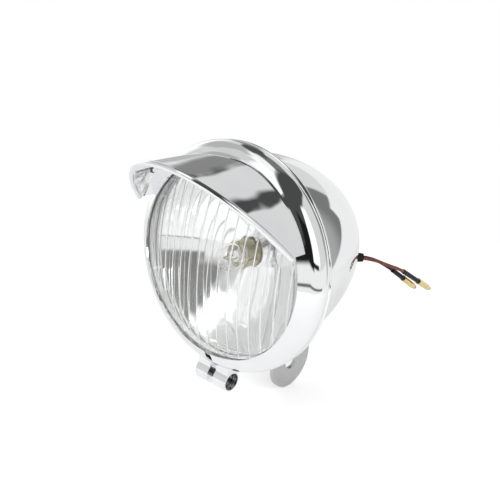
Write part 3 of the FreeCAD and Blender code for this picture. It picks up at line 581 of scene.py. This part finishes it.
def flute_cut(x):
    """Depth of the round groove between two ribs, an arc's height over its chord, less a round rib."""
    bend = (PITCH * PITCH / 4.0 + FLUTE * FLUTE) / (2.0 * FLUTE)
    local = np.mod(x, PITCH) - PITCH / 2.0
    beside = PITCH / 2.0 - np.abs(local)
    groove = np.sqrt(bend * bend - local * local) - (bend - FLUTE)
    return groove - RIB * np.exp(-np.square(beside / RIB_HALF))


def inner_face(x, z):
    """Place along the axis of the lens's inner sphere."""
    return DOME_CENTRE - np.sqrt(INNER * INNER - x * x - z * z)


def fluted_field(rows=72):
    """Columns at x, each from edge to edge of the round field: z = v sqrt(field^2 - x^2)."""
    x = flute_columns()[:, None]
    z = np.linspace(-1.0, 1.0, rows)[None, :] * np.sqrt(FIELD * FIELD - x * x)
    y = inner_face(x, z) - flute_cut(x)
    points = np.stack([np.broadcast_to(x, z.shape), y, z], axis=-1)
    return points.reshape(-1, 3), grid_faces(len(x), rows)


def lens_rings():
    """Rings on the field's own edge angles, from the flutes out and back to the front's pole."""
    x = flute_columns()
    z = np.sqrt(FIELD * FIELD - x * x)
    angle = np.concatenate([np.arctan2(z, x)[::-1], np.arctan2(-z, x)])
    edge_x, edge_z = FIELD * np.cos(angle), FIELD * np.sin(angle)
    first = np.stack([edge_x, inner_face(edge_x, edge_z) - flute_cut(edge_x), edge_z], axis=-1)
    border = np.linspace(FIELD, SKIRT_IN, 5)
    face = np.linspace(FACE_EDGE, 0.0, 40)
    section = outline(
        np.stack([border, inner_face(border, 0.0 * border)], axis=1),
        (SKIRT_IN, SKIRT_BACK),
        (SKIRT_OUT, SKIRT_BACK),
        (SKIRT_OUT, SEAT),
        np.stack([face, DOME_CENTRE - np.sqrt(DOME * DOME - face * face)], axis=1),
    )
    radius, along = section[:, :1], section[:, 1:]
    ring_x, ring_z = radius * np.cos(angle), radius * np.sin(angle)
    rings = np.stack([ring_x, np.broadcast_to(along, ring_x.shape), ring_z], axis=-1)
    points = np.concatenate([first[None], rings])
    return points.reshape(-1, 3), grid_faces(len(section) + 1, len(angle), False, True)


add_piece("fluted_lens", [fluted_field(), lens_rings()], lens_glass, "lens_glass", "lens")

# %% [markdown]
# The mirror is a paraboloid pressed from thin sheet: y = vertex - r^2 / (4 f). Its flange is held
# between the bucket's mouth and the rubber ring, and its neck carries the bulb holder.

# %% Mirror
VERTEX, FOCAL, MIRROR_SHEET = 20.018, 27.0, 0.9
NECK_IN, NECK_OUT, BOWL_EDGE = 8.6, 9.6, 52.6
NECK_FRONT, NECK_BACK = VERTEX - 7.4, VERTEX + 1.6
FLANGE, FLANGE_FRONT, FLANGE_BACK = 60.8, -5.6, -4.8


def paraboloid(vertex, count=60):
    """Points (r, vertex - r^2 / (4 f)), from the neck out to the flange."""
    radius = np.linspace(NECK_OUT, BOWL_EDGE, count)
    return np.stack([radius, vertex - radius * radius / (4.0 * FOCAL)], axis=1)


mirror_section = outline(
    (NECK_IN, NECK_BACK),
    (NECK_IN, NECK_FRONT),
    (NECK_OUT, NECK_FRONT),
    paraboloid(VERTEX),
    (FLANGE, FLANGE_FRONT),
    (FLANGE, FLANGE_BACK),
    (BOWL_EDGE + MIRROR_SHEET, FLANGE_BACK),
    paraboloid(VERTEX + MIRROR_SHEET)[::-1],
    (NECK_OUT, NECK_BACK),
)
mirror_surface = lathe(mirror_section, 240)
add_piece("mirror_bowl", [mirror_surface], mirror, "reflector_mirror", "reflector")

# %% [markdown]
# The bulb's globe is blown glass with a thin wall, and the filament inside it is a fine coil: a wire
# carried along a helix, x = pitch * turn, with y and z on a small circle.

# %% Globe and filament
FOCUS = VERTEX - FOCAL
GLOBE_CENTRE, GLOBE_OUT, GLOBE_IN, GLOBE_BACK = (0.0, FOCUS + 3.5), 8.0, 7.2, 7.518
TURNS, COIL_LENGTH, COIL_RADIUS, COIL_WIRE = 11, 4.7, 0.45, 0.12

globe_section = outline(
    arc(GLOBE_CENTRE, GLOBE_OUT, -90.0, 33.1, 40),
    (6.7, GLOBE_BACK),
    (5.9, GLOBE_BACK),
    arc(GLOBE_CENTRE, GLOBE_IN, 34.9, -90.0, 36),
)
add_piece("bulb_globe", [lathe(globe_section, 96)], bulb_glass, "bulb_clear", "bulb_glass")

turns = np.linspace(0.0, TURNS, TURNS * 24 + 1)
coil = np.stack(
    [
        COIL_LENGTH * turns / TURNS - COIL_LENGTH / 2.0,
        FOCUS + COIL_RADIUS * np.cos(2.0 * np.pi * turns),
        COIL_RADIUS * np.sin(2.0 * np.pi * turns),
    ],
    axis=-1,
)
coil_wire = tube(coil, np.full(len(coil), COIL_WIRE), 8)
add_piece("filament_coil", [coil_wire], tungsten, "tungsten", "filament")

# %% [markdown]
# The two wires come out of the rubber boss side by side, bend down under their own weight and end in
# sleeves with bullet terminals. Each is one open smooth curve whose control points are the route's own
# points, so the bends are as even as a real wire's.

# %% Wires
def free_wire(name, route, finish, length):
    """One open smooth curve through the route, with a round section."""
    data = bpy.data.curves.new(name, "CURVE")
    data.dimensions = "3D"
    data.bevel_depth = 0.001
    data.bevel_resolution = 6
    data.use_fill_caps = True
    spline = data.splines.new("NURBS")
    spline.points.add(len(route) - 1)
    placed = np.array(route) * 0.001 + LAMP_ZERO
    spline.points.foreach_set("co", np.column_stack([placed, np.ones(len(route))]).ravel())
    spline.order_u = 3
    spline.use_endpoint_u = True
    spline.resolution_u = 24
    data.materials.append(finish)
    wire = bpy.data.objects.new(name, data)
    bpy.context.scene.collection.objects.link(wire)
    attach(wire, "root")
    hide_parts(name.replace("tail", "wire"))
    print(name, "points", len(route), "length", length)


BROWN_ROUTE = [
    (35.327, 71.127, -5.1), (41.081, 76.684, -5.1), (46.401, 87.6, -10.0), (49.341, 96.95, -13.55),
    (49.851, 104.95, -18.05),
]
BLACK_ROUTE = [
    (33.853, 72.652, -5.1), (39.608, 78.209, -5.1), (45.101, 90.9, -12.5), (46.001, 98.64, -17.4),
]
free_wire("tail_brown", BROWN_ROUTE, brown_skin, 0.0405)
free_wire("tail_black", BLACK_ROUTE, black_skin, 0.0326)

# %% [markdown]
# The small pieces keep their solids. A solid arrives as loose flat triangles, so a modifier joins
# them and smooths the shading over curved faces, and leaves the true corners sharp. The mesh itself
# isn't touched.

# %% Finishes for the remaining solids
def smoothing_group():
    """Joins points that coincide, shades faces smooth and keeps edges over a set angle sharp."""
    group = bpy.data.node_groups.new("smooth_over_facets", "GeometryNodeTree")
    group.interface.new_socket("Geometry", in_out="INPUT", socket_type="NodeSocketGeometry")
    group.interface.new_socket("Geometry", in_out="OUTPUT", socket_type="NodeSocketGeometry")
    nodes, links = group.nodes, group.links
    start, end = nodes.new("NodeGroupInput"), nodes.new("NodeGroupOutput")
    merge = nodes.new("GeometryNodeMergeByDistance")
    merge.inputs["Distance"].default_value = 1e-6
    smooth = nodes.new("GeometryNodeSetShadeSmooth")
    smooth.domain = "FACE"
    sharp = nodes.new("GeometryNodeSetShadeSmooth")
    sharp.domain = "EDGE"
    sharp.inputs["Shade Smooth"].default_value = False
    bend = nodes.new("GeometryNodeInputMeshEdgeAngle")
    over = nodes.new("FunctionNodeCompare")
    over.inputs["B"].default_value = CORNER
    links.new(start.outputs[0], merge.inputs["Geometry"])
    links.new(merge.outputs["Geometry"], smooth.inputs["Geometry"])
    links.new(smooth.outputs["Geometry"], sharp.inputs["Geometry"])
    links.new(bend.outputs["Unsigned Angle"], over.inputs["A"])
    links.new(over.outputs["Result"], sharp.inputs["Selection"])
    links.new(sharp.outputs["Geometry"], end.inputs[0])
    return group


KEPT = {
    "clamp_barrel_left": chrome,
    "clamp_barrel_right": chrome,
    "clamp_screw": screw_metal,
    "lens_gasket": pale_rubber,
    "bulb_holder": khaki,
    "bulb_cap": cap_brass,
    "cap_contact": solder,
    "filament_stem": stem_glass,
    "filament_supports": tungsten,
    "contact_disc": board,
    "contact_stud": brass,
    "mount_bracket": satin,
    "bracket_welds": satin,
    "wire_grommet": rubber,
    "sleeve_brown": black_skin,
    "sleeve_black": black_skin,
    "bullet_brown": brown_tip,
    "bullet_black": black_tip,
    "lead_live": brown_skin,
    "lead_earth": black_skin,
}
smooth_over_facets = smoothing_group()
for node, finish in KEPT.items():
    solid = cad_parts[node]
    solid.data.materials.clear()
    solid.data.materials.append(finish)
    solid.modifiers.new("smooth_over_facets", "NODES").node_group = smooth_over_facets
print("solids kept:", len(KEPT))

# %% [markdown]
# Chrome has no colour of its own, so the room matters most. The room is drawn by direction: a bearing
# round the lamp and a height over the horizon. A panel is a patch between two bearings and two heights
# with soft edges, and its level is blended over what is behind it.

# %% Studio by direction
world = bpy.data.worlds.new("studio")
bpy.context.scene.world = world
world.use_nodes = True
studio = world.node_tree
studio.nodes.clear()


def calc(operation, first, second=0.0):
    """One maths node of the studio."""
    return maths(studio, operation, first, second)


def ramp(value, low, high):
    """A soft step from 0 at low to 1 at high."""
    return span(studio, value, low, high, eased=True)


def inside(angle, low, high, soft):
    """1 between two angles and 0 outside: falls as the distance from the middle grows."""
    away = calc("ABSOLUTE", calc("SUBTRACT", angle, (low + high) / 2.0))
    half = (high - low) / 2.0
    return span(studio, away, half - soft, half + soft, 1.0, 0.0, eased=True)


def blended(under, mask, level):
    """under + mask * (level - under)."""
    return calc("ADD", under, calc("MULTIPLY", mask, calc("SUBTRACT", level, under)))


look = studio.nodes.new("ShaderNodeTexCoord")
east, north, upward = parts_of(studio, look.outputs["Generated"])
bearing = calc("MULTIPLY", calc("ARCTAN2", east, north), 180.0 / math.pi)
height = calc("MULTIPLY", calc("ARCSINE", upward), 180.0 / math.pi)
print("studio directions ready")

# %% [markdown]
# The panels: a pale floor, bright sheets on the left, a soft panel on the right, a dark ceiling, grey
# panels at the front and front left, and a few narrow dark strips. Each later panel hangs in front of
# the earlier ones.

# %% Panels
ROOM = 0.72
# Bearing from and to (0 behind the lamp, 90 on its right), height from and to, level, softness
PANELS = [
    (-200.0, 200.0, -95.0, 0.0, 0.90, 2.0),
    (-34.0, 38.0, -95.0, 15.5, 0.90, 1.5),
    (-200.0, -85.0, -95.0, 95.0, 1.0, 12.0),
    (-62.0, 30.0, 46.0, 92.0, 0.19, 3.0),
    (-130.0, -62.0, 24.0, 62.0, 0.48, 5.0),
    (-200.0, -128.0, 30.0, 92.0, 1.1, 5.0),
    (-156.0, -100.0, -8.0, 29.0, 0.70, 4.0),
    (-148.0, -112.0, 27.0, 54.0, 0.66, 4.0),
    (165.0, 200.0, 2.0, 27.0, 0.45, 3.0),
    (-200.0, -160.0, 2.0, 27.0, 0.45, 3.0),
    (-200.0, -84.0, 64.0, 92.0, 1.0, 4.0),
    (-90.0, -44.0, -14.0, 21.0, 1.1, 3.0),
    (-45.0, -32.0, 8.0, 33.0, 0.26, 2.5),
    (-50.0, -34.0, -14.0, 8.0, 0.50, 4.0),
    (86.0, 129.0, 3.0, 51.0, 1.15, 3.0),
    (72.0, 156.0, -16.6, -14.6, 0.15, 0.7),
]


def hang(level, panels):
    """Each panel in its turn, blended over what is behind it."""
    for start, end, low, high, shade, soft in panels:
        mask = calc("MULTIPLY", inside(bearing, start, end, soft), inside(height, low, high, soft))
        level = blended(level, mask, shade)
    return level


level = hang(ROOM, PANELS)
print("panels in the studio:", len(PANELS))

# %% [markdown]
# Three dark places have slanting edges. For two of them an edge is a soft step on a sum of the bearing
# and the height. The gap between the ceiling sheets is drawn on a plan of the ceiling at height 1,
# where its edges are straight. The dark side, where the camera stands, hangs in front of them all.

# %% Slanting places and the dark side
SHEET_LEVEL, GAP_LEVEL = 0.085, 0.07
DARK_SIDE = [
    (127.0, 160.0, -3.0, 31.0, 0.012, 2.0),
    (97.0, 132.0, 0.2, 4.2, 0.012, 1.0),
]

# A dark sheet at the upper left, cut off along a slanting edge
sheet = calc("MULTIPLY", inside(bearing, -90.0, -30.0, 2.0), inside(height, 30.0, 66.0, 3.0))
slant = ramp(calc("ADD", bearing, height), -15.0, -10.0)
level = blended(level, calc("MULTIPLY", sheet, slant), SHEET_LEVEL)

# The open back of the studio, low on the right: slanting edges below and above, and one step
below = ramp(calc("ADD", height, calc("MULTIPLY", bearing, 0.9)), 12.5, 15.5)
beyond = calc("MULTIPLY", calc("MAXIMUM", calc("SUBTRACT", bearing, 15.0), 0.0), 0.9)
above = ramp(calc("ADD", height, beyond), 33.0, 29.0)
step = calc("MAXIMUM", ramp(height, 15.0, 17.0), ramp(bearing, 6.5, 8.5))
sides = calc("MULTIPLY", step, inside(bearing, -2.2, 36.0, 1.5))
opening = calc("MULTIPLY", calc("MULTIPLY", below, above), sides)
depth = calc("ADD", calc("MULTIPLY", ramp(bearing, 12.0, 27.0), 0.2), 0.2)
level = blended(level, opening, depth)

# The gap between the two ceiling sheets: it opens towards the camera
rise = calc("MAXIMUM", upward, 0.02)
plan_x = calc("DIVIDE", east, rise)
plan_y = calc("DIVIDE", north, rise)
far_edge = calc("MINIMUM", calc("SUBTRACT", 0.74, calc("MULTIPLY", plan_y, 0.3)), 0.74)
east_edge = calc("MAXIMUM", far_edge, calc("SUBTRACT", 0.35, plan_y))
to_edge = calc("SUBTRACT", east_edge, plan_x)
gap = calc("MULTIPLY", ramp(plan_x, -0.05, 0.09), ramp(to_edge, -0.04, 0.06))
lowest = calc("ADD", height, calc("MAXIMUM", calc("SUBTRACT", bearing, 60.0), 0.0))
gap = calc("MULTIPLY", gap, calc("MULTIPLY", ramp(lowest, 36.5, 39.5), ramp(height, 4.0, 10.0)))
level = blended(level, gap, GAP_LEVEL)
level = hang(level, DARK_SIDE)
print("slanting places: 3, panels of the dark side:", len(DARK_SIDE))

# %% [markdown]
# Not every ray sees the room alike. Dull surfaces get an even grey, what the glass lets through is
# lifted a little, and the camera itself sees only white.

# %% Who sees what
WHITE, DULL_LEVEL, GLASS_LIFT = 1.0, 0.65, 0.1
path = studio.nodes.new("ShaderNodeLightPath")
lifted = calc("MULTIPLY", path.outputs["Is Transmission Ray"], GLASS_LIFT)
level = blended(level, path.outputs["Is Diffuse Ray"], DULL_LEVEL)
level = blended(level, lifted, WHITE)
level = blended(level, path.outputs["Is Camera Ray"], WHITE)
glow = studio.nodes.new("ShaderNodeBackground")
glow.inputs["Color"].default_value = (1.0, 1.0, 1.0, 1.0)
result = studio.nodes.new("ShaderNodeOutputWorld")
studio.links.new(level, glow.inputs["Strength"])
studio.links.new(glow.outputs[0], result.inputs["Surface"])
print("studio lit")

# %% [markdown]
# The table is a plain pale sheet under the bracket. It takes the lamp's soft shadow, and a little
# light of its own, for the camera alone, brings it up to the white of the backdrop. Three soft lamps
# light the dull surfaces; they are hidden from the chrome, which would show them as squares.

# %% Table and lamps
TABLE_LIFT = 0.26
# Place, the point it looks at, size and power of each lamp
LAMPS = {
    "soft_left": ((-0.343, -1.2, 0.93), (0.0, -0.08, 0.08), 0.44, 6.0),
    "soft_right": ((1.1, -0.1, 0.7), (0.0, -0.03, 0.08), 0.8, 4.0),
    "soft_front": ((0.75, -0.75, 0.55), (0.0, -0.08, 0.08), 0.5, 3.0),
}


def add_table(radius=0.4, level=-0.0186, count=128):
    """A round sheet under the lowest point of the bracket: (r cos a, r sin a) in one face."""
    mesh = bpy.data.meshes.new("table")
    angle = np.linspace(0.0, 2.0 * np.pi, count, endpoint=False)
    rim = np.stack([radius * np.cos(angle), radius * np.sin(angle), np.full(count, level)], axis=-1)
    mesh.from_pydata(rim.tolist(), [], [list(range(count))])
    material, tree, shader = new_finish("table_paper")
    shader.inputs["Base Color"].default_value = (0.93, 0.93, 0.93, 1.0)
    shader.inputs["Roughness"].default_value = 0.9
    shader.inputs["Specular IOR Level"].default_value = 0.0
    shader.inputs["Emission Color"].default_value = (1.0, 1.0, 1.0, 1.0)
    seen = tree.nodes.new("ShaderNodeLightPath")
    lift = maths(tree, "MULTIPLY", seen.outputs["Is Camera Ray"], TABLE_LIFT)
    tree.links.new(lift, shader.inputs["Emission Strength"])
    mesh.materials.append(material)
    table = bpy.data.objects.new("table", mesh)
    bpy.context.scene.collection.objects.link(table)


def add_lamp(name, place, target, size, power):
    """A square soft lamp that looks at a point."""
    data = bpy.data.lights.new(name, "AREA")
    data.size = size
    data.energy = power
    lamp = bpy.data.objects.new(name, data)
    turn = (Vector(target) - Vector(place)).to_track_quat("-Z", "Y").to_matrix().to_4x4()
    lamp.matrix_world = Matrix.Translation(place) @ turn
    lamp.visible_glossy = False
    bpy.context.scene.collection.objects.link(lamp)


add_table()
for name, settings in LAMPS.items():
    add_lamp(name, *settings)
print("table and lamps set:", len(LAMPS))

# %% [markdown]
# The camera stands to the lamp's right, a little above it, at the viewing angle of the photograph.

# %% Camera
RIGHT = Vector((0.7586, 0.64079, 0.11795))
UP = Vector((-0.30909, 0.19456, 0.93092))
BACK = Vector((0.57358, -0.74265, 0.34565))
STAND = Vector((0.295044, -0.426073, 0.267983))
lens_data = bpy.data.cameras.new("camera")
lens_data.lens = 65.2
lens_data.sensor_width = 36.0
lens_data.shift_x = -0.024
lens_data.shift_y = -0.016
lens_data.dof.use_dof = False
camera = bpy.data.objects.new("camera", lens_data)
turn = Matrix((RIGHT, UP, BACK)).transposed().to_4x4()
camera.matrix_world = Matrix.Translation(STAND) @ turn
bpy.context.scene.collection.objects.link(camera)
bpy.context.scene.camera = camera
bpy.context.scene.view_settings.view_transform = "Standard"
# A mirror behind thick fluted glass passes light on more often than the usual four times
bpy.context.scene.cycles.max_bounces = 24
bpy.context.scene.cycles.glossy_bounces = 12
bpy.context.scene.cycles.transmission_bounces = 20
print("camera set")
